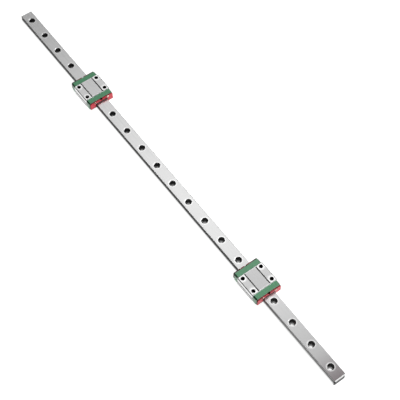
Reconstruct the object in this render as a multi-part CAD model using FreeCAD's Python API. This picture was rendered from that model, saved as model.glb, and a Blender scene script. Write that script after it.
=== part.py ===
import FreeCAD, Part
import math
import os

from FreeCAD import Vector

# Miniature linear guide, 12 mm size: one rail and two short carriages.
# Millimetres. +X along the rail, +Y across it, +Z up out of the mounting surface.
# The origin is the middle of the rail's underside. Each carriage is built about x = 0 and then moved.

# Rail
RAIL_LENGTH = 500.0
RAIL_WIDTH = 12.0
RAIL_HEIGHT = 8.0
RAIL_EDGE_CHAMFER = 0.3
RAIL_FOOT_CHAMFER = 0.5
RAIL_END_CHAMFER = 0.9
RAIL_HOLE_PITCH = 25.0
RAIL_HOLE_COUNT = 20
RAIL_HOLE_R = 1.75
COUNTERBORE_R = 3.0
COUNTERBORE_DEPTH = 4.5
RAIL_RIM_CHAMFER = 0.25

# Ball track
BALL_R = 2.381 / 2
BALL_COUNT = 22
TRACK_Y = 6.35
TRACK_Z = 5.6
GROOVE_R = 1.30
GROOVE_OFFSET = 0.06
RETURN_Y = 10.8
RETURN_R = 1.33
TURN_R = (RETURN_Y - TRACK_Y) / 2
TURN_Y = (RETURN_Y + TRACK_Y) / 2

# Ball-retaining wire, bent outwards into the end caps
WIRE_R = 0.2
WIRE_Y = 4.86
WIRE_END_X = 15.0
WIRE_END_Y = 8.3
WIRE_BEND_R = 0.8
WIRE_HOLE_R = 0.26
WIRE_SLOT_HALF_HEIGHT = 0.35
WIRE_SLOT_FLOOR_Y = 4.6

# Carriage block
BLOCK_LENGTH = 21.7
BLOCK_WIDTH = 27.0
BLOCK_TOP_Z = 13.0
BLOCK_BOTTOM_Z = 3.0
BLOCK_CHAMFER = 0.5
CHANNEL_Y = 6.5
CHANNEL_Z = 8.7
TOP_GROOVE_Y = 6.15
TOP_GROOVE_WIDTH = 0.9
TOP_GROOVE_DEPTH = 0.5
SIDE_GROOVE_Z = 7.2
SIDE_GROOVE_HALF_MOUTH = 0.65
SIDE_GROOVE_HALF_FLOOR = 0.3
SIDE_GROOVE_DEPTH = 0.45
BOLT_SPACING_X = 15.0
BOLT_SPACING_Y = 20.0
BOLT_HOLE_R = 1.25
BOLT_HOLE_DEPTH = 3.5
BOLT_MOUTH_R = 1.9
BOLT_MOUTH_DEPTH = 0.4
DRILL_POINT_HEIGHT = 0.7

# End cap
CAP_THICKNESS = 4.9
CAP_TOP_Z = 12.4
CAP_BOTTOM_Z = 3.6
CAP_HALF_WIDTH = 13.2
CAP_SHOULDER_DROP = 1.2
CAP_CORNER_R = 1.2
CAP_CHANNEL_Y = 6.6
CAP_CHANNEL_Z = 8.6
POCKET_HALF_HEIGHT = 1.7

# Return guide, seated in the cap's pocket
GUIDE_GAP = 0.03

# End seal and its backing plate
PLATE_THICKNESS = 0.3
PLATE_TOP_Z = 12.2
PLATE_HALF_WIDTH = 13.0
SEAL_THICKNESS = 1.1
SEAL_TOP_Z = 12.0
SEAL_BOTTOM_Z = 4.2
SEAL_HALF_WIDTH = 12.9
SEAL_SHOULDER_DROP = 1.0
SEAL_EDGE_CHAMFER = 0.4
LIP_THICKNESS = 0.4
LIP_GAP = 0.1
LIP_RECESS_HEIGHT = 1.5
LIP_REACH = 0.2
LIP_TOE_HEIGHT = 0.3
LOBE_R = 1.15

# Grease port through the cap, reached through a notch in the seal
PORT_Z = 11.0
PORT_R = 0.75
NOTCH_HALF_WIDTH = 1.15
GREASE_PATH = [(0.0, 11.0), (6.74, 9.03), (9.2, 7.2)]
GREASE_WIDTH = 0.4
GREASE_DEPTH = 0.5

# Screws that clamp the seal and cap to the block
SCREW_Y = 7.2
SCREW_Z = 10.4
SCREW_R = 0.8
SCREW_TIP_X = 7.35
SCREW_CAP_HOLE_R = 1.0
SCREW_BLOCK_HOLE_R = 0.85
SCREW_BLOCK_HOLE_END_X = 7.0
SCREW_HEAD_R = 1.05
SCREW_HEAD_INNER_X = 16.55
SCREW_HEAD_OUTER_X = 17.35
SCREW_HEAD_CHAMFER = 0.2
SCREW_SEAT_GAP = 0.08
RECESS_LENGTH = 1.2
RECESS_WIDTH = 0.28
RECESS_DEPTH = 0.4

# Where the two carriages stand on the rail
CARRIAGES = {"carriage_a": -123.4, "carriage_b": 138.9}

X = Vector(1, 0, 0)
Y = Vector(0, 1, 0)
Z = Vector(0, 0, 1)
CENTRE = Vector(0, 0, 0)
OVERSHOOT = 1.0

BLOCK_END_X = BLOCK_LENGTH / 2
CAP_END_X = BLOCK_END_X + CAP_THICKNESS
PLATE_END_X = CAP_END_X + PLATE_THICKNESS
SEAL_END_X = PLATE_END_X + SEAL_THICKNESS


def prism(outline, x0, x1):
    """A prism along X from x0 to x1 on a closed outline of (y, z) points."""
    ring = [Vector(x0, y, z) for y, z in outline]
    face = Part.Face(Part.makePolygon(ring + ring[:1]))
    return face.extrude(X * (x1 - x0))


def both_sides(half):
    """The closed outline whose +Y half runs through the given (y, z) points."""
    return half + [(-y, z) for y, z in reversed(half)]


def box(x0, x1, y0, y1, z0, z1):
    """A box between two corners."""
    return Part.makeBox(x1 - x0, y1 - y0, z1 - z0, Vector(x0, y0, z0))


def rod(radius, x0, x1, y, z):
    """A cylinder along X."""
    return Part.makeCylinder(radius, x1 - x0, Vector(x0, y, z), X)


def turned(outline, x, y):
    """A solid turned about the vertical line at x, y from a closed outline of (radius, z) points."""
    ring = [Vector(x + r, y, z) for r, z in outline]
    face = Part.Face(Part.makePolygon(ring + ring[:1]))
    return face.revolve(Vector(x, y, 0), Z, 360)


def to_rear(shape):
    """A copy of a front-end shape, turned half round about Z to the rear end."""
    copy = shape.copy()
    copy.rotate(CENTRE, Z, 180)
    return copy


def gothic_groove(side, half_length):
    """The pointed-arch ball groove on one side, as the overlap of two offset cylinders."""
    upper = rod(GROOVE_R, -half_length, half_length, side * TRACK_Y, TRACK_Z + GROOVE_OFFSET)
    lower = rod(GROOVE_R, -half_length, half_length, side * TRACK_Y, TRACK_Z - GROOVE_OFFSET)
    return upper.common(lower)


def make_rail():
    """The rail: a bar with chamfered ends, a ball groove on each side and a row of bolt holes."""
    half_length = RAIL_LENGTH / 2
    half_width = RAIL_WIDTH / 2
    section = both_sides(
        [
            (half_width - RAIL_EDGE_CHAMFER, RAIL_HEIGHT),
            (half_width, RAIL_HEIGHT - RAIL_EDGE_CHAMFER),
            (half_width, RAIL_FOOT_CHAMFER),
            (half_width - RAIL_FOOT_CHAMFER, 0),
        ]
    )
    bar = box(-half_length, half_length, -half_width, half_width, 0, RAIL_HEIGHT)
    ends = [e for e in bar.Edges if abs(e.BoundBox.XMin) == half_length and e.BoundBox.XLength < OVERSHOOT]
    body = bar.makeChamfer(RAIL_END_CHAMFER, ends).common(prism(section, -half_length, half_length))

    cuts = []
    for side in (-1, 1):
        cuts.append(gothic_groove(side, half_length + OVERSHOOT))
        slot_y = sorted((side * WIRE_SLOT_FLOOR_Y, side * (half_width + OVERSHOOT)))
        slot_z = (TRACK_Z - WIRE_SLOT_HALF_HEIGHT, TRACK_Z + WIRE_SLOT_HALF_HEIGHT)
        cuts.append(box(-half_length - OVERSHOOT, half_length + OVERSHOOT, *slot_y, *slot_z))

    seat_z = RAIL_HEIGHT - COUNTERBORE_DEPTH
    rim_r = COUNTERBORE_R + RAIL_RIM_CHAMFER
    hole = [
        (0, -OVERSHOOT),
        (RAIL_HOLE_R, -OVERSHOOT),
        (RAIL_HOLE_R, seat_z),
        (COUNTERBORE_R, seat_z),
        (COUNTERBORE_R, RAIL_HEIGHT - RAIL_RIM_CHAMFER),
        (rim_r, RAIL_HEIGHT),
        (rim_r, RAIL_HEIGHT + OVERSHOOT),
        (0, RAIL_HEIGHT + OVERSHOOT),
    ]
    first_x = -RAIL_HOLE_PITCH * (RAIL_HOLE_COUNT - 1) / 2
    for i in range(RAIL_HOLE_COUNT):
        cuts.append(turned(hole, first_x + i * RAIL_HOLE_PITCH, 0))
    return body.cut(cuts)


def make_block():
    """The steel block: a saddle with ball grooves, return bores and threaded holes."""
    half_width = BLOCK_WIDTH / 2
    groove_in = TOP_GROOVE_Y - TOP_GROOVE_WIDTH / 2
    groove_out = TOP_GROOVE_Y + TOP_GROOVE_WIDTH / 2
    groove_z = BLOCK_TOP_Z - TOP_GROOVE_DEPTH
    side_floor = half_width - SIDE_GROOVE_DEPTH
    section = both_sides(
        [
            (groove_in, BLOCK_TOP_Z),
            (groove_in, groove_z),
            (groove_out, groove_z),
            (groove_out, BLOCK_TOP_Z),
            (half_width, BLOCK_TOP_Z),
            (half_width, SIDE_GROOVE_Z + SIDE_GROOVE_HALF_MOUTH),
            (side_floor, SIDE_GROOVE_Z + SIDE_GROOVE_HALF_FLOOR),
            (side_floor, SIDE_GROOVE_Z - SIDE_GROOVE_HALF_FLOOR),
            (half_width, SIDE_GROOVE_Z - SIDE_GROOVE_HALF_MOUTH),
            (half_width, BLOCK_BOTTOM_Z),
            (CHANNEL_Y, BLOCK_BOTTOM_Z),
            (CHANNEL_Y, CHANNEL_Z),
        ]
    )
    blank = box(-BLOCK_END_X, BLOCK_END_X, -half_width, half_width, BLOCK_BOTTOM_Z, BLOCK_TOP_Z)
    blank = blank.makeChamfer(BLOCK_CHAMFER, blank.Edges)
    body = blank.common(prism(section, -BLOCK_END_X, BLOCK_END_X))

    cuts = []
    for side in (-1, 1):
        cuts.append(gothic_groove(side, BLOCK_END_X + OVERSHOOT))
        reach = BLOCK_END_X + OVERSHOOT
        cuts.append(rod(RETURN_R, -reach, reach, side * RETURN_Y, TRACK_Z))
        for start, end in ((-reach, -SCREW_BLOCK_HOLE_END_X), (SCREW_BLOCK_HOLE_END_X, reach)):
            cuts.append(rod(SCREW_BLOCK_HOLE_R, start, end, side * SCREW_Y, SCREW_Z))

    floor_z = BLOCK_TOP_Z - BOLT_HOLE_DEPTH
    mouth_z = BLOCK_TOP_Z - BOLT_MOUTH_DEPTH
    hole = [
        (0, floor_z - DRILL_POINT_HEIGHT),
        (BOLT_HOLE_R, floor_z),
        (BOLT_HOLE_R, mouth_z),
        (BOLT_MOUTH_R, BLOCK_TOP_Z),
        (BOLT_MOUTH_R, BLOCK_TOP_Z + OVERSHOOT),
        (0, BLOCK_TOP_Z + OVERSHOOT),
    ]
    for x in (-BOLT_SPACING_X / 2, BOLT_SPACING_X / 2):
        for y in (-BOLT_SPACING_Y / 2, BOLT_SPACING_Y / 2):
            cuts.append(turned(hole, x, y))
    return body.cut(cuts)


def turn_tube(side):
    """The U-shaped ball passage at the front end of one side's circuit."""
    return Part.makeTorus(TURN_R, RETURN_R, Vector(BLOCK_END_X, side * TURN_Y, TRACK_Z), Z)


def turn_core(side, radius, half_height, x0):
    """The half disc in front of x0 that fills the inside of a U-turn."""
    foot = Vector(BLOCK_END_X, side * TURN_Y, TRACK_Z - half_height)
    disc = Part.makeCylinder(radius, 2 * half_height, foot, Z)
    return disc.common(box(x0, CAP_END_X, -BLOCK_WIDTH, BLOCK_WIDTH, 0, BLOCK_TOP_Z))


def grease_channels():
    """The shallow channels on the cap's inner face, from the port to each ball pocket."""
    parts = []
    for side in (-1, 1):
        for (y0, z0), (y1, z1) in zip(GREASE_PATH, GREASE_PATH[1:]):
            length = math.hypot(y1 - y0, z1 - z0)
            angle = math.degrees(math.atan2(z1 - z0, side * (y1 - y0)))
            segment = box(0, GREASE_DEPTH, 0, length, -GREASE_WIDTH / 2, GREASE_WIDTH / 2)
            segment.rotate(CENTRE, X, angle)
            segment.translate(Vector(BLOCK_END_X, side * y0, z0))
            parts.append(segment)
    return parts


def make_cap():
    """The front end cap, with its ball pockets, screw holes, wire holes and grease port."""
    section = both_sides(
        [
            (CAP_HALF_WIDTH - CAP_SHOULDER_DROP, CAP_TOP_Z),
            (CAP_HALF_WIDTH, CAP_TOP_Z - CAP_SHOULDER_DROP),
            (CAP_HALF_WIDTH, CAP_BOTTOM_Z),
            (CAP_CHANNEL_Y, CAP_BOTTOM_Z),
            (CAP_CHANNEL_Y, CAP_CHANNEL_Z),
        ]
    )
    blank = box(BLOCK_END_X, CAP_END_X, -CAP_HALF_WIDTH, CAP_HALF_WIDTH, CAP_BOTTOM_Z, CAP_TOP_Z)
    corners = [e for e in blank.Edges if e.BoundBox.ZLength > CAP_THICKNESS]
    corners = [e for e in corners if e.BoundBox.XMin > BLOCK_END_X]
    body = blank.makeFillet(CAP_CORNER_R, corners).common(prism(section, BLOCK_END_X, CAP_END_X))

    through = (BLOCK_END_X - OVERSHOOT, CAP_END_X + OVERSHOOT)
    cuts = grease_channels()
    cuts.append(rod(PORT_R, *through, 0, PORT_Z))
    for side in (-1, 1):
        cuts.append(turn_tube(side))
        cuts.append(turn_core(side, TURN_R, POCKET_HALF_HEIGHT, BLOCK_END_X))
        cuts.append(rod(SCREW_CAP_HOLE_R, *through, side * SCREW_Y, SCREW_Z))
        wire_start = Vector(WIRE_END_X, side * WIRE_Y, TRACK_Z)
        wire_length = WIRE_END_Y - WIRE_Y + WIRE_R
        cuts.append(Part.makeCylinder(WIRE_HOLE_R, wire_length, wire_start, Y * side))
    return body.cut(cuts)


def make_guide(side):
    """The return guide that fills the inside of one front U-turn."""
    core = turn_core(side, TURN_R - GUIDE_GAP, POCKET_HALF_HEIGHT - GUIDE_GAP, BLOCK_END_X + GUIDE_GAP)
    return core.cut(turn_tube(side))


def rail_opening(y, z, x0, x1):
    """The space that a plate of the carriage leaves for the rail."""
    return box(x0, x1, -y, y, 0, z)


def plate_outline(half_width, top_z, bottom_z, drop):
    """The outline of a plate across the carriage's end, with its top corners cut."""
    return both_sides([(half_width - drop, top_z), (half_width, top_z - drop), (half_width, bottom_z)])


def port_notch(x0, x1):
    """The notch, open at the top, that gives access to the grease port."""
    round_end = rod(NOTCH_HALF_WIDTH, x0, x1, 0, PORT_Z)
    return round_end.fuse(box(x0, x1, -NOTCH_HALF_WIDTH, NOTCH_HALF_WIDTH, PORT_Z, BLOCK_TOP_Z))


def make_plate():
    """The thin steel plate between the front cap and its seal."""
    outline = plate_outline(PLATE_HALF_WIDTH, PLATE_TOP_Z, SEAL_BOTTOM_Z, SEAL_SHOULDER_DROP)
    body = prism(outline, CAP_END_X, PLATE_END_X)
    x0, x1 = CAP_END_X - OVERSHOOT, PLATE_END_X + OVERSHOOT
    cuts = [rail_opening(CAP_CHANNEL_Y, CAP_CHANNEL_Z, x0, x1), port_notch(x0, x1)]
    for side in (-1, 1):
        cuts.append(rod(SCREW_CAP_HOLE_R, x0, x1, side * SCREW_Y, SCREW_Z))
    return body.cut(cuts)


def leaning_lip(lip_x):
    """The wedge over the rail's top: it leans from the top of the recess out to just past the seal's face."""
    foot_z = RAIL_HEIGHT + LIP_GAP
    toe_x = SEAL_END_X + LIP_REACH
    half_y = RAIL_WIDTH / 2
    corners = (
        (lip_x, foot_z),
        (toe_x, foot_z),
        (toe_x, foot_z + LIP_TOE_HEIGHT),
        (lip_x, RAIL_HEIGHT + LIP_RECESS_HEIGHT),
    )
    points = [Vector(x, -half_y, z) for x, z in corners]
    face = Part.Face(Part.makePolygon(points + points[:1]))
    return face.extrude(Vector(0, RAIL_WIDTH, 0))


def make_seal():
    """The front wiper seal: its lip follows the rail's sides and grooves and leans out along its top."""
    outline = plate_outline(SEAL_HALF_WIDTH, SEAL_TOP_Z, SEAL_BOTTOM_Z, SEAL_SHOULDER_DROP)
    body = prism(outline, PLATE_END_X, SEAL_END_X)
    rim = [e for e in body.Edges if e.BoundBox.XMin > PLATE_END_X and e.BoundBox.ZMin > SEAL_BOTTOM_Z]
    body = body.makeChamfer(SEAL_EDGE_CHAMFER, rim)

    x0, x1 = PLATE_END_X - OVERSHOOT, SEAL_END_X + OVERSHOOT
    lip_x = PLATE_END_X + LIP_THICKNESS
    gap = rail_opening(RAIL_WIDTH / 2 + LIP_GAP, RAIL_HEIGHT + LIP_GAP, x0, x1)
    for side in (-1, 1):
        gap = gap.cut(rod(LOBE_R, x0, lip_x, side * TRACK_Y, TRACK_Z))
    recess = rail_opening(RAIL_WIDTH / 2, RAIL_HEIGHT + LIP_RECESS_HEIGHT, lip_x, x1)
    cuts = [gap, recess, port_notch(x0, x1)]
    for side in (-1, 1):
        cuts.append(rod(SCREW_CAP_HOLE_R, x0, x1, side * SCREW_Y, SCREW_Z))
        cuts.append(rod(SCREW_HEAD_R + SCREW_SEAT_GAP, SCREW_HEAD_INNER_X, x1, side * SCREW_Y, SCREW_Z))
    return body.cut(cuts).fuse(leaning_lip(lip_x))


def make_screw(side):
    """One front clamp screw, its head sunk into the seal, with a cross recess."""
    head = rod(SCREW_HEAD_R, SCREW_HEAD_INNER_X, SCREW_HEAD_OUTER_X, side * SCREW_Y, SCREW_Z)
    rim = [e for e in head.Edges if e.BoundBox.XMin > SCREW_HEAD_INNER_X]
    head = head.makeChamfer(SCREW_HEAD_CHAMFER, rim)
    shank = rod(SCREW_R, SCREW_TIP_X, SCREW_HEAD_INNER_X, side * SCREW_Y, SCREW_Z)
    recess_x = (SCREW_HEAD_OUTER_X - RECESS_DEPTH, SCREW_HEAD_OUTER_X + OVERSHOOT)
    long_half, short_half = RECESS_LENGTH / 2, RECESS_WIDTH / 2
    recess = []
    for half_y, half_z in ((long_half, short_half), (short_half, long_half)):
        arm = box(*recess_x, -half_y, half_y, -half_z, half_z)
        arm.translate(Vector(0, side * SCREW_Y, SCREW_Z))
        recess.append(arm)
    return head.fuse(shank).cut(recess)


def ball_centre(distance):
    """The (x, y) point at a distance along a circuit on the +Y side, from the rear of its loaded track."""
    turn = math.pi * TURN_R
    if distance < BLOCK_LENGTH:
        return distance - BLOCK_END_X, TRACK_Y
    distance -= BLOCK_LENGTH
    if distance < turn:
        angle = distance / TURN_R
        return BLOCK_END_X + TURN_R * math.sin(angle), TURN_Y - TURN_R * math.cos(angle)
    distance -= turn
    if distance < BLOCK_LENGTH:
        return BLOCK_END_X - distance, RETURN_Y
    angle = (distance - BLOCK_LENGTH) / TURN_R
    return -BLOCK_END_X - TURN_R * math.sin(angle), TURN_Y + TURN_R * math.cos(angle)


def make_balls(side):
    """The balls of one circuit, evenly spaced round it."""
    circuit = 2 * (BLOCK_LENGTH + math.pi * TURN_R)
    balls = []
    for i in range(BALL_COUNT):
        x, y = ball_centre(i * circuit / BALL_COUNT)
        balls.append(Part.makeSphere(BALL_R, Vector(x, side * y, TRACK_Z)))
    return Part.makeCompound(balls)


def make_wire(side):
    """One ball-retaining wire, straight beside the loaded track and bent outwards at both ends."""
    bend = WIRE_BEND_R
    corner = bend * (1 - math.sqrt(0.5))
    y0, y1 = side * WIRE_Y, side * WIRE_END_Y

    def at(x, y):
        return Vector(x, y, TRACK_Z)

    path = Part.Wire(
        [
            Part.makeLine(at(-WIRE_END_X, y1), at(-WIRE_END_X, y0 + side * bend)),
            Part.Arc(
                at(-WIRE_END_X, y0 + side * bend),
                at(-WIRE_END_X + corner, y0 + side * corner),
                at(-WIRE_END_X + bend, y0),
            ).toShape(),
            Part.makeLine(at(-WIRE_END_X + bend, y0), at(WIRE_END_X - bend, y0)),
            Part.Arc(
                at(WIRE_END_X - bend, y0),
                at(WIRE_END_X - corner, y0 + side * corner),
                at(WIRE_END_X, y0 + side * bend),
            ).toShape(),
            Part.makeLine(at(WIRE_END_X, y0 + side * bend), at(WIRE_END_X, y1)),
        ]
    )
    circle = Part.Wire([Part.makeCircle(WIRE_R, at(-WIRE_END_X, y1), Y)])
    return path.makePipeShell([circle], True, True)


def carriage_parts():
    """Every piece of one carriage about x = 0, by node name."""
    parts = {"block": make_block()}
    front = {"cap": make_cap(), "plate": make_plate(), "seal": make_seal()}
    for name, shape in front.items():
        parts[name + "_front"] = shape
        parts[name + "_rear"] = to_rear(shape)
    for side, word, opposite in ((-1, "right", "left"), (1, "left", "right")):
        guide = make_guide(side)
        parts["guide_front_" + word] = guide
        parts["guide_rear_" + opposite] = to_rear(guide)
        parts["balls_" + word] = make_balls(side)
        parts["wire_" + word] = make_wire(side)
    screws = [make_screw(-1), make_screw(1)]
    screws += [to_rear(screw) for screw in screws]
    parts["screws"] = Part.makeCompound(screws)
    return parts


os.makedirs("parts", exist_ok=True)
make_rail().exportStep("parts/rail.step")
PIECES = carriage_parts()
for carriage, x in CARRIAGES.items():
    for name, shape in PIECES.items():
        moved = shape.copy()
        moved.translate(Vector(x, 0, 0))
        moved.exportStep("parts/" + carriage + "_" + name + ".step")
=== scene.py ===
import math

import bmesh
import bpy
from mathutils import Matrix, Vector


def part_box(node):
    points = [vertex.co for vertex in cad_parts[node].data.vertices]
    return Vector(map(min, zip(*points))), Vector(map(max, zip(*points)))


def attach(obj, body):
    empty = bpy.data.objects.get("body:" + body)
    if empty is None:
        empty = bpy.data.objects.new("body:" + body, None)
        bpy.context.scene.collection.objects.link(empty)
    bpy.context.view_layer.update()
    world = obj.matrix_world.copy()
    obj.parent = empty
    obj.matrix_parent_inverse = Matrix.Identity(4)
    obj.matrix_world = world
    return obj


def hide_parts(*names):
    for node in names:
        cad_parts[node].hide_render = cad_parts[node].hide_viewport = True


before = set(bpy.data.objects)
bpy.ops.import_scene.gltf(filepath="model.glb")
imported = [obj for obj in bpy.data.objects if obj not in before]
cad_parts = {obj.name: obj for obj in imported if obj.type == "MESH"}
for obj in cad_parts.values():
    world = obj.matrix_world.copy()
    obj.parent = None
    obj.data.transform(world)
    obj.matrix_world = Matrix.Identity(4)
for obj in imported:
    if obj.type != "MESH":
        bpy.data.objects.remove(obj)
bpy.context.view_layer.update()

MM = 0.001
CARRIAGES = ("carriage_a", "carriage_b")

# ---------------------------------------------------------------- sizes, in millimetres

# Rail
RAIL_EDGE_CHAMFER = 0.3
RAIL_FOOT_CHAMFER = 0.5
RAIL_END_CHAMFER = 0.9
# the rail's flanks and grooves above this height take a dark finish: painted shade
RAIL_SIDE_PAINTED_SHADE_Z = 2.6
HOLE_PITCH = 25.0
HOLE_R = 1.75
COUNTERBORE_R = 3.0
COUNTERBORE_DEPTH = 4.5
RIM_CHAMFER = 0.25
# width of the painted highlight ring round each rail hole
RAIL_PAINTED_HALO = 1.8

# Ball track, shared by the rail and the blocks
TRACK_Y = 6.35
TRACK_Z = 5.6
GROOVE_R = 1.3
GROOVE_OFFSET = 0.06
SLOT_HALF_HEIGHT = 0.35
SLOT_FLOOR_Y = 4.6
RETURN_Y = 10.8
RETURN_R = 1.33

# Carriage block
BLOCK_CHAMFER = 0.5
CHANNEL_Y = 6.5
CHANNEL_Z = 8.7
TOP_GROOVE = (5.7, 6.6)
TOP_GROOVE_DEPTH = 0.5
SIDE_GROOVE_Z = 7.2
SIDE_GROOVE_HALF = (0.65, 0.3)
SIDE_GROOVE_DEPTH = 0.45
# height of the painted shade band along the foot of the block's sides
SIDE_PAINTED_SHADE_HEIGHT = 1.7
BOLT_X = 7.5
BOLT_Y = 10.0
BOLT_R = 1.25
BOLT_DEPTH = 3.5
BOLT_POINT = 0.7
THREAD_R = 1.5
MOUTH_R = 1.9
MOUTH_DEPTH = 0.4
THREAD_PITCH = 0.5
THREAD_START = 0.1
THREAD_ENDS = 0.4
SIDE_GROOVE_BAND = 0.8
SCREW_BORE_R = 0.85
SCREW_BORE_DEPTH = 3.85
SCREW_BORE_POINT = 0.5
# widths of the painted highlight along the block's ends and round its bolt holes
BLOCK_END_PAINTED_GLOW = 1.4
BOLT_PAINTED_HALO = 2.8

# End seal and clamp screws
SHOULDER = 1.0
SEAL_ROUND = 0.4
LIP_GAP = 0.1
LIP_THICKNESS = 0.4
LIP_RECESS_HEIGHT = 1.5
LIP_REACH = 0.2
LIP_TOE_HEIGHT = 0.3
LIP_CLEAR = 0.02
# painted shade on the seal where it meets the rail: its reach above the rail top, beside the rail, and its
# fade
LIP_PAINTED_SHADE_ABOVE = 0.9
LIP_PAINTED_SHADE_BESIDE = 0.7
LIP_PAINTED_SHADE_FADE = 0.3
LOBE_R = 1.15
NOTCH_HALF_WIDTH = 1.15
PORT_Z = 11.0
SCREW_Y = 7.2
SCREW_Z = 10.4
HEAD_SEAT_R = 1.13
HEAD_SINK = 0.6
SHANK_BORE_R = 1.0
# inner and outer radius of the painted shade on the cap round the grease port, where it shows through the
# seal's notch
PORT_PAINTED_SHADE_R = (1.2, 1.35)
MIDDLE_RED = (4.0, 8.0)

# Softened edges, by radius
EDGE_ROUND = 0.1
RIM_ROUND = 0.08
MOUTH_ROUND = 0.05
CHANNEL_ROUND = 0.4
FOOT_ROUND = 0.15
SEAL_CORNER_ROUND = 0.4
SEAL_FOOT_ROUND = 0.3
CAP_EDGE_ROUND = 0.12
SCREW_EDGE_ROUND = 0.05

# Mesh making: lengths in millimetres, angles in degrees
WELD_REACH = 0.002
SHORTEST_FLAT = 2.0
MARGIN = 0.1
NEARLY = 1e-3
LEVEL = 1e-6
ROUND_STEPS = 4
HOLE_STEPS = 48
SHARP_ANGLE = 32
BEVEL_ANGLE = 35
SAME_POINT = 1e-4

# Finishes of one piece, as its material numbers: those of every piece, the rail's own, the blocks' own
BARE, SHADED, GROUND = 0, 1, 2
TRACK, RIM, SIDE, SAWN, WALL, EDGE = 3, 4, 5, 6, 7, 8
GROOVE, CORNER = 3, 4


# ---------------------------------------------------------------- outlines

def arc(centre_y, centre_z, radius, start, end, steps):
    """Points round an arc, from start to end in degrees."""
    angles = [math.radians(start + (end - start) * i / steps) for i in range(steps + 1)]
    return [(centre_y + radius * math.cos(a), centre_z + radius * math.sin(a)) for a in angles]


def rounded(corners):
    """The corners (y, z) or (y, z, radius), each with a radius replaced by an arc."""
    points = []
    for i, corner in enumerate(corners):
        here = Vector(corner[:2])
        radius = corner[2] if len(corner) > 2 else 0.0
        if radius == 0.0:
            points.append(tuple(here))
            continue
        back = (Vector(corners[i - 1][:2]) - here).normalized()
        ahead = (Vector(corners[i + 1][:2]) - here).normalized()
        half = back.angle(ahead) / 2
        reach = radius / math.tan(half)
        centre = here + (back + ahead).normalized() * (radius / math.sin(half))
        first = here + back * reach - centre
        last = here + ahead * reach - centre
        turn = first.angle_signed(last)
        for step in range(ROUND_STEPS + 1):
            points.append(tuple(centre + Matrix.Rotation(-turn * step / ROUND_STEPS, 2) @ first))
    return points


def both_sides(half):
    """A closed outline from its +Y half, listed from top to bottom or round to the channel's roof."""
    return half + [(-y, z) for y, z in reversed(half)]


def inset(outline, amount, low, high):
    """The outline squeezed into a smaller box, as a chamfer at a bar's end does."""
    width = max(y for y, z in outline) - amount
    return [(min(max(y, -width), width), min(max(z, low + amount), high - amount)) for y, z in outline]


def chamfer_steps(size, soft):
    """(distance from the end, inset) pairs for an end chamfer with slightly rounded edges."""
    return rounded([(size + 2 * soft, 0.0), (size, 0.0, soft), (0.0, size)])


# ---------------------------------------------------------------- mesh building

class Piece:
    """One piece's mesh in the making, in millimetres about its own centre."""

    def __init__(self):
        self.bm = bmesh.new()

    def section(self, x, outline):
        """A loop of points across the piece at x."""
        return [self.bm.verts.new((x, y, z)) for y, z in outline]

    def skin(self, a, b, finish=0, skip=()):
        """Faces between two closed loops, without the strips listed in skip."""
        for i in range(len(a)):
            if i not in skip:
                self.strip(a, b, i, finish)

    def strip(self, a, b, i, finish):
        """The one face between two closed loops that starts at their point i."""
        j = (i + 1) % len(a)
        self.bm.faces.new((a[i], a[j], b[j], b[i])).material_index = finish

    def sweep(self, stations, finish=0, skip=()):
        """A skin through outlines at (x, outline) stations."""
        loops = [self.section(x, outline) for x, outline in stations]
        for a, b in zip(loops, loops[1:]):
            self.skin(a, b, finish, skip)
        return loops

    def turned(self, foot, axis, profile, finish=0):
        """A surface turned about an axis through foot from (radius, height) points."""
        spin = Vector((0, 0, 1)).rotation_difference(Vector(axis))
        loops = []
        for radius, height in profile:
            ring = []
            for i in range(HOLE_STEPS):
                angle = 2 * math.pi * i / HOLE_STEPS
                arm = Vector((radius * math.cos(angle), radius * math.sin(angle), height))
                ring.append(self.bm.verts.new(Vector(foot) + spin @ arm))
            loops.append(ring)
        for a, b in zip(loops, loops[1:]):
            self.skin(a, b, finish)
        if profile[-1][0] == 0:
            bmesh.ops.remove_doubles(self.bm, verts=loops[-1], dist=NEARLY)

    def close(self, axis, value, finish=0):
        """Fills the open outlines that lie in the plane where that axis has that value."""
        bmesh.ops.remove_doubles(self.bm, verts=self.bm.verts, dist=SAME_POINT)
        bmesh.ops.dissolve_degenerate(self.bm, edges=self.bm.edges, dist=SAME_POINT)
        edges = []
        for edge in self.bm.edges:
            if edge.is_boundary and all(abs(v.co[axis] - value) < SAME_POINT for v in edge.verts):
                edges.append(edge)
        made = bmesh.ops.triangle_fill(self.bm, edges=edges, use_beauty=True)
        for item in made["geom"]:
            if isinstance(item, bmesh.types.BMFace):
                item.material_index = finish

    def finish(self, name, materials, x=0.0, turn_back=False):
        """The finished object, moved to x and scaled to metres; turn_back turns it to face the rear."""
        bmesh.ops.recalc_face_normals(self.bm, faces=self.bm.faces)
        turn = Matrix.Rotation(math.pi if turn_back else 0.0, 4, "Z")
        self.bm.transform(Matrix.Scale(MM, 4) @ Matrix.Translation((x, 0, 0)) @ turn)
        mesh = bpy.data.meshes.new(name)
        self.bm.to_mesh(mesh)
        self.bm.free()
        for material in materials:
            mesh.materials.append(material)
        mesh.polygons.foreach_set("use_smooth", [True] * len(mesh.polygons))
        mesh.set_sharp_from_angle(angle=math.radians(SHARP_ANGLE))
        piece = bpy.data.objects.new(name, mesh)
        bpy.context.scene.collection.objects.link(piece)
        weighted = piece.modifiers.new("flat_faces", "WEIGHTED_NORMAL")
        weighted.keep_sharp = True
        return piece


def place(piece, body, slot, *nodes):
    """Rides a piece on its body in place of its CAD nodes."""
    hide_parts(*nodes)
    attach(piece, body)


def size_mm(node):
    """A node's (low, high) corners in millimetres."""
    low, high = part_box(node)
    return low / MM, high / MM


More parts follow.
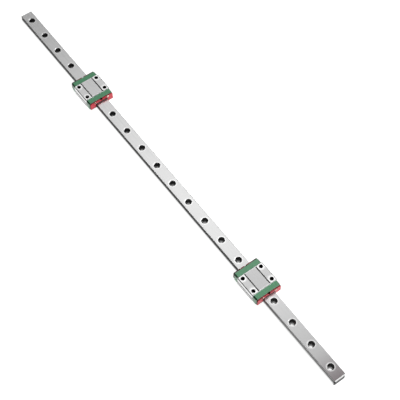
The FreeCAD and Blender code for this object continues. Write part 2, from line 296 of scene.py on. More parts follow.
def flat_strips(outline, z):
    """The indices of an outline's long level edges at height z."""
    found = []
    for i, (y, here) in enumerate(outline):
        next_y, there = outline[(i + 1) % len(outline)]
        level = abs(here - z) < LEVEL and abs(there - z) < LEVEL
        if level and abs(next_y - y) > SHORTEST_FLAT:
            found.append(i)
    return found


def dark_band(outline, low, high):
    """The indices of an outline's edges with both ends between two heights."""
    heights = [z for y, z in outline]
    found = []
    for i, z in enumerate(heights):
        if low < z < high and low < heights[(i + 1) % len(heights)] < high:
            found.append(i)
    return found


# ---------------------------------------------------------------- rail

def groove_half(wall_y, leaving):
    """One side's ball groove as points at y and above or below, from the wall's upper edge to its lower.

    leaving is 1 where the metal is inside the wall, as on the rail, and -1 where it is outside."""
    upper_z = TRACK_Z - GROOVE_OFFSET
    lower_z = TRACK_Z + GROOVE_OFFSET
    mouth = math.degrees(math.acos((wall_y - TRACK_Y) / GROOVE_R))
    if leaving > 0:
        deep = 180 - math.degrees(math.asin((SLOT_HALF_HEIGHT + GROOVE_OFFSET) / GROOVE_R))
        slot_top = TRACK_Z + SLOT_HALF_HEIGHT
        slot_low = TRACK_Z - SLOT_HALF_HEIGHT
        upper = arc(TRACK_Y, upper_z, GROOVE_R, mouth, deep, 2 * ROUND_STEPS)
        lower = arc(TRACK_Y, lower_z, GROOVE_R, -deep, -mouth, 2 * ROUND_STEPS)
        return upper + [(SLOT_FLOOR_Y, slot_top), (SLOT_FLOOR_Y, slot_low)] + lower
    deep = math.degrees(math.asin(GROOVE_OFFSET / GROOVE_R))
    lower = arc(TRACK_Y, lower_z, GROOVE_R, -mouth, -deep, 2 * ROUND_STEPS)
    upper = arc(TRACK_Y, upper_z, GROOVE_R, deep, mouth, 2 * ROUND_STEPS)
    return lower + upper[1:]


def rail_outline(half_width, height):
    """The rail's outline, with a gothic-arch groove and a slot for the wire on each side."""
    top = rounded(
        [
            (0, height),
            (half_width - RAIL_EDGE_CHAMFER, height, EDGE_ROUND),
            (half_width, height - RAIL_EDGE_CHAMFER, EDGE_ROUND),
            (half_width, TRACK_Z),
        ]
    )[1:-1]
    foot = rounded(
        [
            (half_width, TRACK_Z),
            (half_width, RAIL_SIDE_PAINTED_SHADE_Z, 0.0),
            (half_width, RAIL_FOOT_CHAMFER, EDGE_ROUND),
            (half_width - RAIL_FOOT_CHAMFER, 0, EDGE_ROUND),
            (0, 0),
        ]
    )[1:-1]
    return both_sides(top + groove_half(half_width, 1) + foot)


def cut_rail_hole(piece, x, height):
    """One counterbored hole with softened rims."""
    seat = height - COUNTERBORE_DEPTH
    rim = rounded(
        [
            (COUNTERBORE_R + 1, height),
            (COUNTERBORE_R + RIM_CHAMFER, height, RIM_ROUND),
            (COUNTERBORE_R, height - RIM_CHAMFER, RIM_ROUND),
            (COUNTERBORE_R, seat),
        ]
    )[1:-1]
    bore = rounded(
        [
            (COUNTERBORE_R, height),
            (COUNTERBORE_R, seat, FOOT_ROUND),
            (HOLE_R, seat, EDGE_ROUND),
            (HOLE_R, 0, FOOT_ROUND),
            (HOLE_R + 1, 0),
        ]
    )[1:-1]
    piece.turned((x, 0, 0), (0, 0, 1), rim, RIM)
    # the counterbore's wall and its seat and bore take darker steels: painted shade inside the hole
    piece.turned((x, 0, 0), (0, 0, 1), [rim[-1], bore[0]], WALL)
    piece.turned((x, 0, 0), (0, 0, 1), bore, TRACK)


def make_rail(materials):
    """The rail, with its bolt holes; its top, flanks, ends and holes have finishes of their own."""
    low, high = size_mm("rail")
    end_x, height = high.x, high.z
    outline = rail_outline(high.y, height)
    flats = flat_strips(outline, height) + flat_strips(outline, 0.0)
    groove = dark_band(outline, RAIL_SIDE_PAINTED_SHADE_Z - MARGIN, height - NEARLY)
    steps = chamfer_steps(RAIL_END_CHAMFER, EDGE_ROUND)
    ends = [(end_x - back, inset(outline, amount, 0.0, height)) for back, amount in steps]

    piece = Piece()
    top = dark_band(outline, height - 0.05, height + 1)
    front = piece.sweep(ends, SAWN, skip=top)
    rear = piece.sweep([(-x, points) for x, points in ends], SAWN, skip=top)
    for i in top:
        for a, b in list(zip(front, front[1:])) + list(zip(rear, rear[1:])):
            piece.strip(a, b, i, EDGE)
    piece.skin(rear[0], front[0], BARE, skip=flats + groove)
    # the upper flanks and grooves take the dark side finish: painted shade
    for i in groove:
        piece.strip(rear[0], front[0], i, SIDE)
    hole_count = round(2 * end_x / HOLE_PITCH)
    for i in range(hole_count):
        cut_rail_hole(piece, -end_x + HOLE_PITCH * (i + 0.5), height)
    piece.close(2, height, GROUND)
    piece.close(2, 0.0, BARE)
    piece.close(0, end_x, SAWN)
    piece.close(0, -end_x, SAWN)
    return piece.finish("guide_rail", materials)


# ---------------------------------------------------------------- carriage block

def block_outline(half_width, low, high):
    """The block's saddle outline, with its top and side grooves and its ball grooves."""
    side_floor = half_width - SIDE_GROOVE_DEPTH
    mouth, floor = SIDE_GROOVE_HALF
    outside = rounded(
        [
            (0, high),
            (TOP_GROOVE[0], high, EDGE_ROUND),
            (TOP_GROOVE[0], high - TOP_GROOVE_DEPTH, EDGE_ROUND),
            (TOP_GROOVE[1], high - TOP_GROOVE_DEPTH, EDGE_ROUND),
            (TOP_GROOVE[1], high, EDGE_ROUND),
            (half_width - BLOCK_CHAMFER, high, EDGE_ROUND),
            (half_width, high - BLOCK_CHAMFER, EDGE_ROUND),
            (half_width, SIDE_GROOVE_Z + mouth, EDGE_ROUND),
            (side_floor, SIDE_GROOVE_Z + floor, EDGE_ROUND),
            (side_floor, SIDE_GROOVE_Z - floor, EDGE_ROUND),
            (half_width, SIDE_GROOVE_Z - mouth, EDGE_ROUND),
            (half_width, low + SIDE_PAINTED_SHADE_HEIGHT),
            (half_width, low + BLOCK_CHAMFER, EDGE_ROUND),
            (half_width - BLOCK_CHAMFER, low, EDGE_ROUND),
            (CHANNEL_Y, low, FOOT_ROUND),
            (CHANNEL_Y, TRACK_Z),
        ]
    )[1:-1]
    roof = rounded([(CHANNEL_Y, TRACK_Z), (CHANNEL_Y, CHANNEL_Z, CHANNEL_ROUND), (0, CHANNEL_Z)])[1:-1]
    return both_sides(outside + groove_half(CHANNEL_Y, -1) + roof)


def cut_bolt_hole(piece, x, y, top):
    """A blind tapped hole, with a countersunk mouth, thread grooves and a drill point."""
    floor = top - BOLT_DEPTH
    wall_top = top - MOUTH_DEPTH
    mouth = rounded(
        [(MOUTH_R + 1, top), (MOUTH_R, top, MOUTH_ROUND), (BOLT_R, wall_top, MOUTH_ROUND), (BOLT_R, floor)]
    )[1:-1]
    thread = []
    first_crest = wall_top - THREAD_START
    turns = int((BOLT_DEPTH - MOUTH_DEPTH - THREAD_ENDS) / THREAD_PITCH)
    for i in range(turns):
        crest = first_crest - i * THREAD_PITCH
        thread += [(BOLT_R, crest), (THREAD_R, crest - THREAD_PITCH / 2)]
    thread += [(BOLT_R, first_crest - turns * THREAD_PITCH), (BOLT_R, floor), (0, floor - BOLT_POINT)]
    # the whole hole is near black: painted shade
    piece.turned((x, y, 0), (0, 0, 1), mouth + thread, SHADED)


def make_block(carriage, centre_x, materials):
    """A carriage's steel block, with its tapped holes, return bores and screw bores."""
    low, high = size_mm(carriage + "_block")
    end_x = high.x - centre_x
    outline = block_outline(high.y, low.z, high.z)
    flats = flat_strips(outline, high.z)
    grooves = dark_band(outline, high.z - 1, high.z - NEARLY)
    grooves = [i for i in grooves if abs(outline[i][0]) < TOP_GROOVE[1] + 0.5]
    flanks = dark_band(outline, SIDE_GROOVE_Z - SIDE_GROOVE_BAND, SIDE_GROOVE_Z + SIDE_GROOVE_BAND)
    edges = [i for i in flanks if abs(outline[i][0]) > CHANNEL_Y + 1]
    outer = dark_band(outline, high.z - BLOCK_CHAMFER - MARGIN, high.z - NEARLY)
    outer += dark_band(outline, low.z - NEARLY, low.z + SIDE_PAINTED_SHADE_HEIGHT + MARGIN)
    edges += [i for i in outer if abs(outline[i][0]) > high.y - BLOCK_CHAMFER - MARGIN]
    steps = chamfer_steps(BLOCK_CHAMFER, RIM_ROUND)
    ends = [(end_x - back, inset(outline, amount, low.z, high.z)) for back, amount in steps]

    piece = Piece()
    front = piece.sweep(ends, CORNER)
    rear = piece.sweep([(-x, points) for x, points in ends], CORNER)
    piece.skin(rear[0], front[0], BARE, skip=flats + grooves + edges)
    # the top grooves take the dark counterbore steel: painted shade
    for i in grooves:
        piece.strip(rear[0], front[0], i, GROOVE)
    # the side groove band, the top chamfer and the foot of the sides take the near-black finish: painted
    # shade
    for i in edges:
        piece.strip(rear[0], front[0], i, SHADED)
    for x in (-BOLT_X, BOLT_X):
        for y in (-BOLT_Y, BOLT_Y):
            cut_bolt_hole(piece, x, y, high.z)
    for y in (-RETURN_Y, RETURN_Y):
        piece.turned((-end_x, y, TRACK_Z), (1, 0, 0), [(RETURN_R, 0), (RETURN_R, 2 * end_x)], SHADED)
    for y in (-SCREW_Y, SCREW_Y):
        depth = SCREW_BORE_DEPTH
        bore = [(SCREW_BORE_R, 0), (SCREW_BORE_R, -depth), (0, -depth - SCREW_BORE_POINT)]
        piece.turned((end_x, y, SCREW_Z), (1, 0, 0), bore, SHADED)
        piece.turned((-end_x, y, SCREW_Z), (-1, 0, 0), bore, SHADED)
    piece.close(2, high.z, GROUND)
    piece.close(0, end_x, BARE)
    piece.close(0, -end_x, BARE)
    return piece.finish(carriage + "_steel_block", materials, centre_x)


# ---------------------------------------------------------------- end seal

def seal_outline(half_width, low, high, drop, opening):
    """The seal's outline with its top edge drawn in by drop, round the given rail opening."""
    side = min(drop, FOOT_ROUND)
    slope = math.sqrt(2)
    notch = arc(0, PORT_Z, NOTCH_HALF_WIDTH, -90, 0, ROUND_STEPS)[1:]
    outside = rounded(
        [
            (NOTCH_HALF_WIDTH, PORT_Z),
            (NOTCH_HALF_WIDTH, high - drop, FOOT_ROUND),
            (half_width - SHOULDER - drop * (slope - 1), high - drop, SEAL_CORNER_ROUND),
            (half_width - side, high - SHOULDER - drop * slope + side, SEAL_CORNER_ROUND),
            (half_width - side, low, SEAL_FOOT_ROUND),
            (0, low),
        ]
    )[1:-1]
    return both_sides(notch + outside + opening)


def make_seal(carriage, end, centre_x, materials):
    """An end seal: a rounded frame, with a lip that follows the rail and leans out along its top."""
    node = carriage + "_seal_" + end
    low, high = size_mm(node)
    rail_high = size_mm("rail")[1]
    back_x, front_x = low.x - centre_x, high.x - centre_x
    if end == "rear":
        back_x, front_x = -front_x, -back_x
    toe_x = front_x
    front_x -= LIP_REACH
    lip_x = back_x + LIP_THICKNESS
    lip_y, lip_z = rail_high.y + LIP_GAP, rail_high.z + LIP_GAP
    recess_y, recess_z = rail_high.y, rail_high.z + LIP_RECESS_HEIGHT

    mouth = math.degrees(math.acos((lip_y - TRACK_Y) / LOBE_R))
    lobe = arc(TRACK_Y, TRACK_Z, LOBE_R, -mouth, -360 + mouth, 3 * ROUND_STEPS)
    lip = [(lip_y, low.z)] + lobe + [(lip_y, lip_z), (recess_y, lip_z)]
    recess = [(lip_y, low.z), lobe[0], lobe[-1], (lip_y, lip_z), (recess_y, lip_z), (recess_y, recess_z)]

    def outline(drop, opening):
        return seal_outline(high.y, low.z, high.z, drop, opening)

    piece = Piece()
    # the seal's sides and top back from the front rounding, its lip and recess, and the upper half of the
    # rounding take the darker red: painted shade
    piece.sweep([(back_x, outline(0.0, lip)), (lip_x, outline(0.0, lip))], SHADED)
    piece.sweep([(lip_x, outline(0.0, recess)), (front_x - SEAL_ROUND, outline(0.0, recess))], SHADED)
    rounding = []
    for step in range(ROUND_STEPS + 1):
        turn = math.pi / 2 * step / ROUND_STEPS
        drop = SEAL_ROUND * (1 - math.cos(turn))
        rounding.append((front_x - SEAL_ROUND * (1 - math.sin(turn)), outline(drop, recess)))
    half = ROUND_STEPS // 2
    piece.sweep(rounding[: half + 1], SHADED)
    piece.sweep(rounding[half:], BARE)
    for y in (-SCREW_Y, SCREW_Y):
        seat = [(HEAD_SEAT_R, 0), (HEAD_SEAT_R, -HEAD_SINK)]
        seat += [(SHANK_BORE_R, -HEAD_SINK), (SHANK_BORE_R, back_x - front_x)]
        piece.turned((front_x, y, SCREW_Z), (1, 0, 0), seat, BARE)
    piece.close(0, lip_x, SHADED)
    piece.close(0, front_x, BARE)
    piece.close(0, back_x, BARE)

    # the wiping lip leans out of the recess to lie on the rail
    heel_x = lip_x + LIP_CLEAR
    side_y, heel_z, toe_z = recess_y - LIP_CLEAR, recess_z - LIP_CLEAR, lip_z + LIP_TOE_HEIGHT
    heel = [(-side_y, lip_z), (side_y, lip_z), (side_y, heel_z), (-side_y, heel_z)]
    toe = [(-side_y, lip_z), (side_y, lip_z), (side_y, toe_z), (-side_y, toe_z)]
    piece.sweep([(heel_x, heel), (toe_x, toe)], BARE)
    piece.close(0, heel_x, BARE)
    piece.close(0, toe_x, BARE)
    return piece.finish(carriage + "_wiper_" + end, materials, centre_x, end == "rear")


# ---------------------------------------------------------------- finishes

class Nodes:
    """A node tree in the making."""

    def __init__(self, tree):
        self.tree = tree

    def node(self, kind, **settings):
        """A new node with its settings."""
        made = self.tree.nodes.new(kind)
        for key, value in settings.items():
            setattr(made, key, value)
        return made

    def sum_math(self, operation, a, b=None):
        """One arithmetic step on values or plain numbers."""
        node = self.node("ShaderNodeMath", operation=operation)
        for socket, value in zip(node.inputs, (a, b)):
            if isinstance(value, float):
                socket.default_value = value
            elif value is not None:
                self.tree.links.new(value, socket)
        return node.outputs[0]

    def axes(self, source):
        """The X, Y and Z of a vector."""
        split = self.node("ShaderNodeSeparateXYZ")
        self.tree.links.new(source, split.inputs[0])
        return tuple(split.outputs)

    def ramp(self, value, start, end, at_start, at_end):
        """A value that runs smoothly from one level at start to another at end."""
        remap = self.node("ShaderNodeMapRange", interpolation_type="SMOOTHSTEP")
        settings = zip(("From Min", "From Max", "To Min", "To Max"), (start, end, at_start, at_end))
        for socket, setting in settings:
            remap.inputs[socket].default_value = setting
        self.tree.links.new(value, remap.inputs["Value"])
        return remap.outputs["Result"]


class Finish(Nodes):
    """A procedural material in the making, on coordinates fixed to the object."""

    def __init__(self, name):
        self.material = bpy.data.materials.new(name)
        self.material.use_nodes = True
        super().__init__(self.material.node_tree)
        self.shader = self.tree.nodes["Principled BSDF"]
        places = self.node("ShaderNodeTexCoord").outputs
        self.position, self.facing, self.share = places["Object"], places["Normal"], places["Generated"]

    def set(self, **values):
        """Plain values on the shader's own sockets."""
        for key, value in values.items():
            self.shader.inputs[key.replace("_", " ")].default_value = value
        return self

    def noise(self, scale, detail=3.0, roughness=0.5):
        """Noise from 0 to 1; scale is (x, y, z) features per metre, so unequal ones give streaks."""
        stretch = self.node("ShaderNodeMapping")
        stretch.inputs["Scale"].default_value = scale
        self.tree.links.new(self.position, stretch.inputs["Vector"])
        noise = self.node("ShaderNodeTexNoise")
        noise.inputs["Scale"].default_value = 1.0
        noise.inputs["Detail"].default_value = detail
        noise.inputs["Roughness"].default_value = roughness
        self.tree.links.new(stretch.outputs["Vector"], noise.inputs["Vector"])
        return noise.outputs["Fac"]

    def mix(self, *parts):
        """The weighted sum of (weight, value) pairs."""
        scaled = [self.sum_math("MULTIPLY", value, weight) for weight, value in parts]
        total = scaled[0]
        for value in scaled[1:]:
            total = self.sum_math("ADD", total, value)
        return total

    def spread(self, value, low, high):
        """A 0 to 1 value, centred on a half, remapped to run from low to high."""
        remap = self.node("ShaderNodeMapRange")
        remap.inputs["From Min"].default_value = 0.25
        remap.inputs["From Max"].default_value = 0.75
        remap.inputs["To Min"].default_value = low
        remap.inputs["To Max"].default_value = high
        self.tree.links.new(value, remap.inputs["Value"])
        return remap.outputs["Result"]

    def fade(self, value, full, none):
        """1 at full, falling smoothly to 0 at none."""
        return self.ramp(value, full, none, 1.0, 0.0)

    def length(self, a, b):
        """The length of an arrow with sides a and b."""
        squares = self.sum_math("ADD", self.sum_math("MULTIPLY", a, a), self.sum_math("MULTIPLY", b, b))
        return self.sum_math("SQRT", squares)

    def tint(self, amount, rgb):
        """Mixes a colour over the base colour by an amount from 0 to 1."""
        socket = self.shader.inputs["Base Color"]
        under = socket.links[0].from_socket
        mix = self.node("ShaderNodeMix", data_type="RGBA")
        self.tree.links.new(amount, mix.inputs["Factor"])
        # the colour inputs share their names with the plain ones, so they are found by kind
        colours = [i for i in mix.inputs if i.type == "RGBA"]
        colours[1].default_value = (*rgb, 1.0)
        self.tree.links.new(under, colours[0])
        result = [o for o in mix.outputs if o.type == "RGBA"][0]
        self.tree.links.new(result, socket)
        return self

    def colour(self, value, *stops):
        """Base colour from (position, rgb) stops along a value."""
        ramp = self.node("ShaderNodeValToRGB")
        elements = ramp.color_ramp.elements
        while len(elements) < len(stops):
            elements.new(0.5)
        for element, (position, rgb) in zip(elements, stops):
            element.position = position
            element.color = (*rgb, 1.0)
        self.tree.links.new(value, ramp.inputs["Fac"])
        self.tree.links.new(ramp.outputs["Color"], self.shader.inputs["Base Color"])
        return self

    def rough(self, value, low, high):
        """Roughness from low to high along a value."""
        self.tree.links.new(self.spread(value, low, high), self.shader.inputs["Roughness"])
        return self

    def bump(self, value, height, strength=1.0):
        """Relief of the given height in metres."""
        bump = self.node("ShaderNodeBump")
        bump.inputs["Strength"].default_value = strength
        bump.inputs["Distance"].default_value = height
        self.tree.links.new(value, bump.inputs["Height"])
        self.tree.links.new(bump.outputs["Normal"], self.shader.inputs["Normal"])
        return self


def grey(level, warmth=0.0):
    """A grey, turned towards yellow by its warmth."""
    return (level * (1 + warmth), level, level * (1 - warmth))


def ground_steel(name, level, roughness):
    """Surface-ground steel: fine lines along X over broad, faint bands."""
    finish = Finish(name).set(Metallic=1.0)
    fine = finish.noise((14, 3200, 3200), 2.0, 0.6)
    band = finish.noise((22, 520, 520), 3.0, 0.55)
    cloud = finish.noise((60, 60, 60), 2.0)
    tone = finish.mix((0.45, fine), (0.35, band), (0.2, cloud))
    finish.colour(tone, (0.3, grey(level * 0.86)), (0.5, grey(level)), (0.7, grey(level * 1.08)))
    finish.rough(tone, *roughness)
    finish.bump(fine, 0.000004, 0.35)
    return finish


def rail_top_steel():
    """Ground steel, with a painted highlight round the bolt holes and painted shade towards the +X end."""
    finish = ground_steel("rail_ground_steel", 0.66, (0.30, 0.38))
    x, y, z = finish.axes(finish.position)
    half_pitch = HOLE_PITCH / 2 * MM
    from_hole = finish.sum_math("SUBTRACT", half_pitch, finish.sum_math("PINGPONG", x, half_pitch))
    reach = finish.length(from_hole, y)
    # painted shade: the top darkens towards the +X end, most over its last few centimetres
    finish.tint(finish.fade(x, 0.25, 0.13), grey(0.56))
    finish.tint(finish.fade(x, 0.258, 0.218), (0.25, 0.215, 0.225))
    # painted highlight: a pale ring round each hole
    painted_halo = finish.fade(reach, COUNTERBORE_R * MM, (COUNTERBORE_R + RAIL_PAINTED_HALO) * MM)
    return finish.tint(painted_halo, grey(0.92)).material


def block_top_steel(carriage, level):
    """Ground steel, with painted highlights round the bolt holes and along the two ends."""
    finish = ground_steel(carriage + "_ground_steel", level, (0.31, 0.40))
    low, high = size_mm(carriage + "_block")
    across = finish.axes(finish.share)
    offsets = []
    for share, span, bolt in zip(across, high - low, (BOLT_X, BOLT_Y)):
        centred = finish.sum_math("ABSOLUTE", finish.sum_math("SUBTRACT", share, 0.5))
        offsets.append(finish.sum_math("SUBTRACT", finish.sum_math("MULTIPLY", centred, span), bolt))
    end = high.x / 2 - low.x / 2 - BOLT_X
    strip = finish.fade(offsets[1], TOP_GROOVE[1] - BOLT_Y, TOP_GROOVE[0] - BOLT_Y)
    finish.tint(finish.sum_math("MULTIPLY", strip, 0.1), grey(0.95))
    # painted highlight: pale along both ends and round each bolt hole
    finish.tint(finish.fade(offsets[0], end, end - BLOCK_END_PAINTED_GLOW), grey(0.98))
    painted_halo = finish.fade(finish.length(*offsets), MOUTH_R, MOUTH_R + BOLT_PAINTED_HALO)
    return finish.tint(painted_halo, grey(0.98)).material


def rail_side_painted_shade_steel():
    """The rail's ground flanks, with painted shade over them and painted light towards the +X end."""
    finish = Finish("rail_side_painted_shade_steel").set(Metallic=1.0)
    tone = finish.mix((0.6, finish.noise((30, 900, 900))), (0.4, finish.noise((60, 60, 60))))
    finish.colour(tone, (0.3, grey(0.085)), (0.55, grey(0.105)), (0.75, grey(0.125)))
    finish.rough(tone, 0.25, 0.38)
    x, y, z = finish.axes(finish.position)
    # painted light: the flanks turn lighter towards the +X end
    return finish.tint(finish.fade(x, 0.2, 0.13), grey(0.42)).material


def plain_steel(name, level, roughness=(0.25, 0.38), grain=900, warmth=0.0):
    """Machined or drawn steel with a fine even grain."""
    finish = Finish(name).set(Metallic=1.0)
    tone = finish.mix((0.6, finish.noise((grain,) * 3)), (0.4, finish.noise((90, 90, 90))))
    stops = [(place, grey(level * share, warmth)) for place, share in ((0.3, 0.82), (0.55, 1.0), (0.75, 1.1))]
    finish.colour(tone, *stops)
    finish.rough(tone, *roughness)
    return finish.bump(tone, 0.00001, 0.2).material


def moulded(name, dark, mid, light, roughness, grain=4200, coat=0.0):
    """Moulded plastic or rubber: a fine spark-eroded grain and a slightly uneven tone."""
    finish = Finish(name).set(Specular_IOR_Level=0.5, Coat_Weight=coat, Coat_Roughness=0.12)
    fine = finish.noise((grain,) * 3, 2.0)
    flow = finish.noise((110, 260, 180), 3.0)
    tone = finish.mix((0.35, fine), (0.65, flow))
    finish.colour(tone, (0.3, dark), (0.5, mid), (0.7, light))
    finish.rough(tone, *roughness)
    return finish.bump(fine, 0.00003, 0.35)


def cap_plastic():
    """The caps' green moulding, with painted shade on the sloping shoulders and round the port."""
    greens = (0.04, 0.205, 0.085), (0.05, 0.235, 0.105), (0.06, 0.26, 0.12)
    finish = moulded("green_moulding", *greens, (0.3, 0.42), coat=0.4)
    along, across, up = finish.axes(finish.facing)
    lean = finish.sum_math("SUBTRACT", finish.sum_math("ABSOLUTE", across), math.sqrt(0.5))
    sloping = finish.fade(finish.sum_math("ABSOLUTE", lean), 0.05, 0.15)
    level = finish.fade(finish.sum_math("ABSOLUTE", along), 0.05, 0.15)
    upward = finish.sum_math("MULTIPLY", level, finish.fade(up, 0.6, 0.5))
    # painted shade: darker green on the shoulders that slope at 45 degrees and face up
    finish.tint(finish.sum_math("MULTIPLY", sloping, upward), (0.01, 0.06, 0.026))
    x, y, z = finish.axes(finish.position)
    # painted shade: near-black green in a disc round the grease port, where the cap shows through the seal's
    # notch
    reach = finish.length(y, finish.sum_math("SUBTRACT", z, PORT_Z * MM))
    return finish.tint(finish.fade(reach, PORT_PAINTED_SHADE_R[0] * MM, PORT_PAINTED_SHADE_R[1] * MM), (0.012, 0.02, 0.012)).material


def seal_rubber(name, dark, mid, light, roughness):
    """Red rubber, deeper in the middle of the seal and almost black with painted shade along the wiping lip.
    """
    finish = moulded(name, dark, mid, light, roughness)
    x, y, z = finish.axes(finish.position)
    across = finish.sum_math("ABSOLUTE", y)
    middle = finish.fade(across, MIDDLE_RED[0] * MM, MIDDLE_RED[1] * MM)
    finish.tint(finish.sum_math("MULTIPLY", middle, 0.5), (0.36, 0.008, 0.02))
    rail_high = size_mm("rail")[1]
    # painted shade: almost black along the lip, beside the rail and just above its top
    beside = finish.sum_math("SUBTRACT", across, rail_high.y * MM)
    above = finish.sum_math("SUBTRACT", z, (rail_high.z + LIP_PAINTED_SHADE_ABOVE) * MM)
    reach = finish.sum_math("MAXIMUM", beside, finish.sum_math("ADD", above, LIP_PAINTED_SHADE_BESIDE * MM))
    lip_painted_shade = finish.fade(reach, LIP_PAINTED_SHADE_BESIDE * MM, (LIP_PAINTED_SHADE_BESIDE + LIP_PAINTED_SHADE_FADE) * MM)
    return finish.tint(lip_painted_shade, (0.035, 0.002, 0.003)).material


RAIL_STEEL = rail_top_steel()
# the two blocks are lit and shaded copies of one ground steel: carriage_b's lower level is painted shade
BLOCK_STEEL = {
    "carriage_a": block_top_steel("carriage_a", 0.65),
    "carriage_b": block_top_steel("carriage_b", 0.56),
}
SIDE_STEEL = rail_side_painted_shade_steel()
# the rail's sawn end faces are rough, and their near-black level is painted shade
SAWN_STEEL = plain_steel("sawn_steel", 0.1, (0.5, 0.6))
RIM_STEEL = plain_steel("rim_steel", 0.62, (0.45, 0.55))
# the hole's seat and bore are darker than the top: painted shade
TRACK_STEEL = plain_steel("bored_steel", 0.34, (0.45, 0.55))
# near-black counterbore walls and block top grooves: painted shade
WALL_STEEL = plain_steel("counterbore_steel", 0.08, (0.45, 0.55))
BARE_STEEL = plain_steel("bare_steel", 0.8, (0.18, 0.26))
EDGE_STEEL = plain_steel("edge_steel", 0.55, (0.18, 0.26))
# near-black steel for hole interiors, bores and dark edge bands: painted shade
PAINTED_SHADE_STEEL = plain_steel("painted_shade_dark_steel", 0.015, (0.6, 0.75))
CAP_GREEN = cap_plastic()
REDS = (0.47, 0.016, 0.034), (0.54, 0.024, 0.045), (0.60, 0.034, 0.06)
# darker reds for the seal's sides, top, lip and recess: painted shade, near black at the rear
SEAL_FRONT_SHADE_REDS = (0.12, 0.02, 0.01), (0.14, 0.024, 0.012), (0.16, 0.03, 0.018)
SEAL_REAR_SHADE_REDS = (0.02, 0.008, 0.005), (0.024, 0.01, 0.006), (0.03, 0.012, 0.008)
WHITES = (0.6, 0.6, 0.54), (0.68, 0.68, 0.62), (0.74, 0.74, 0.7)
SEAL_RED = seal_rubber("red_rubber", *REDS, (0.3, 0.45))
SEAL_SHADE_RED = {
    "front": seal_rubber("front_seal_shade_rubber", *SEAL_FRONT_SHADE_REDS, (0.7, 0.8)),
    "rear": seal_rubber("rear_seal_shade_rubber", *SEAL_REAR_SHADE_REDS, (0.7, 0.8)),
}
GUIDE_PLASTIC = moulded("white_moulding", *WHITES, (0.3, 0.45)).material
BALL_STEEL = plain_steel("polished_steel", 0.8, (0.05, 0.1), 3000)
WIRE_STEEL = plain_steel("drawn_steel", 0.6)
PLATE_STEEL = plain_steel("stamped_steel", 0.28, (0.35, 0.5))
SCREW_STEEL = plain_steel("plated_steel", 0.7, warmth=0.14)


# ---------------------------------------------------------------- the pieces

def finish_cad_node(node, material, soft=0.0):
    """A procedural finish on a CAD node that keeps its own shape, with its edges rounded by soft."""
    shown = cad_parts[node]
    shown.data.materials.clear()
    shown.data.materials.append(material)
    if soft:
        weld = shown.modifiers.new("weld", "WELD")
        weld.merge_threshold = WELD_REACH * MM
        bevel = shown.modifiers.new("round_edges", "BEVEL")
        bevel.width = soft * MM
        bevel.segments = 2
        bevel.limit_method = "ANGLE"
        bevel.angle_limit = math.radians(BEVEL_ANGLE)
        bevel.use_clamp_overlap = True
        weighted = shown.modifiers.new("flat_faces", "WEIGHTED_NORMAL")
        weighted.keep_sharp = True


# each list is in the order of the finish numbers
RAIL_FINISHES = [
    BARE_STEEL,
    PAINTED_SHADE_STEEL,
    RAIL_STEEL,
    TRACK_STEEL,
    RIM_STEEL,
    SIDE_STEEL,
    SAWN_STEEL,
    WALL_STEEL,
    EDGE_STEEL,
]
place(make_rail(RAIL_FINISHES), "rail", "rail_steel", "rail")
for carriage in CARRIAGES:
    block_low, block_high = size_mm(carriage + "_block")
    centre = (block_low.x + block_high.x) / 2
    block_finishes = [BARE_STEEL, PAINTED_SHADE_STEEL, BLOCK_STEEL[carriage], WALL_STEEL, EDGE_STEEL]
    block = make_block(carriage, centre, block_finishes)
    place(block, carriage, "block_steel", carriage + "_block")
    for end in ("front", "rear"):
        seal = make_seal(carriage, end, centre, [SEAL_RED, SEAL_SHADE_RED[end]])
        place(seal, carriage, "seal_red", carriage + "_seal_" + end)
        finish_cad_node(carriage + "_cap_" + end, CAP_GREEN, CAP_EDGE_ROUND)
        finish_cad_node(carriage + "_plate_" + end, PLATE_STEEL)
        for side in ("left", "right"):
            finish_cad_node(carriage + "_guide_" + end + "_" + side, GUIDE_PLASTIC)
    for side in ("left", "right"):
        finish_cad_node(carriage + "_balls_" + side, BALL_STEEL)
        finish_cad_node(carriage + "_wire_" + side, WIRE_STEEL)
    finish_cad_node(carriage + "_screws", SCREW_STEEL, SCREW_EDGE_ROUND)


# ---------------------------------------------------------------- floor, light and camera

# Sky brightness: (lowest height, highest height, light below, light above), and a pale patch on top of it
SKY_RISE = (0.35, 0.7, 0.02, 0.27)
PATCH_HEADING = Vector((-0.428, 0.298, 0.853)).normalized()
PATCH_TIGHTNESS = 130.0
PATCH_LIGHT = 4.2
FLOOR_HALF = 3.0
FLOOR_DROP = 0.0001
LENS = 89.74
SENSOR = 36.0
CAMERA_PLACE = (0.4380, -0.2705, 0.7778)
CAMERA_HEADING = (-0.4350, 0.3079, -0.8461)
CAMERA_ROLL = -1.15
# Each softbox: (name, target, direction from the target, distance, size, watts)
SOFTBOXES = (
    ("key_softbox", (0.0, 0.0, 0.0), (0.45, 0.7, 0.55), 1.5, 1.0, 28),
    ("front_softbox", (0.25, 0.0, 0.0), (0.92, 0.323, 0.224), 1.5, 0.5, 1.4),
)


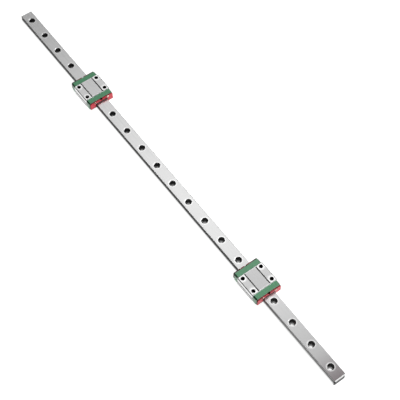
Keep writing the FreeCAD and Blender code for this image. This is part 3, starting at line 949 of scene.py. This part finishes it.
def make_floor():
    """A plain white floor, bright enough to read as a lit table."""
    mesh = bpy.data.meshes.new("floor")
    corners = [(FLOOR_HALF * x, FLOOR_HALF * y, 0) for x, y in ((-1, -1), (1, -1), (1, 1), (-1, 1))]
    mesh.from_pydata(corners, [], [(0, 1, 2, 3)])
    floor = bpy.data.objects.new("floor", mesh)
    floor.location.z = -FLOOR_DROP
    bpy.context.scene.collection.objects.link(floor)
    finish = Finish("white_table").set(Roughness=0.9, Specular_IOR_Level=0.1, Emission_Strength=0.94)
    finish.set(Emission_Color=(1, 1, 1, 1))
    cloud = finish.noise((3, 3, 3), 1.0)
    finish.colour(cloud, (0.4, grey(0.34)), (0.6, grey(0.36)))
    mesh.materials.append(finish.material)


def make_softbox(name, target, direction, distance, size, watts):
    """A square area light aimed at a point from a direction."""
    light = bpy.data.lights.new(name, "AREA")
    light.size = size
    light.energy = watts
    lamp = bpy.data.objects.new(name, light)
    lamp.location = Vector(target) + Vector(direction).normalized() * distance
    lamp.rotation_euler = (Vector(target) - lamp.location).to_track_quat("-Z", "Y").to_euler()
    bpy.context.scene.collection.objects.link(lamp)


def make_sky():
    """Soft room light: a pale patch where the rail's top looks, and darker down to the horizon."""
    world = bpy.data.worlds.new("studio")
    bpy.context.scene.world = world
    world.use_nodes = True
    sky = Nodes(world.node_tree)
    background = sky.tree.nodes["Background"]
    background.inputs["Color"].default_value = (1, 1, 1, 1)
    heading = sky.node("ShaderNodeTexCoord").outputs["Generated"]
    rise = sky.ramp(sky.axes(heading)[2], *SKY_RISE)
    towards = sky.node("ShaderNodeVectorMath", operation="DOT_PRODUCT")
    towards.inputs[1].default_value = PATCH_HEADING
    sky.tree.links.new(heading, towards.inputs[0])
    patch = sky.sum_math("POWER", sky.sum_math("MAXIMUM", towards.outputs["Value"], 0.0), PATCH_TIGHTNESS)
    patch = sky.sum_math("MULTIPLY", patch, PATCH_LIGHT)
    sky.tree.links.new(sky.sum_math("ADD", rise, patch), background.inputs["Strength"])


def make_camera():
    """A long lens from above the front right corner, looking down the rail."""
    data = bpy.data.cameras.new("camera")
    data.lens = LENS
    data.sensor_width = SENSOR
    data.clip_start = 0.01
    camera = bpy.data.objects.new("camera", data)
    camera.location = CAMERA_PLACE
    roll = Matrix.Rotation(math.radians(CAMERA_ROLL), 3, "Z")
    aim = Vector(CAMERA_HEADING).to_track_quat("-Z", "Y").to_matrix()
    camera.rotation_euler = (aim @ roll).to_euler()
    bpy.context.scene.collection.objects.link(camera)
    bpy.context.scene.camera = camera


make_floor()
make_sky()
for softbox in SOFTBOXES:
    make_softbox(*softbox)
make_camera()
bpy.context.scene.view_settings.view_transform = "Standard"
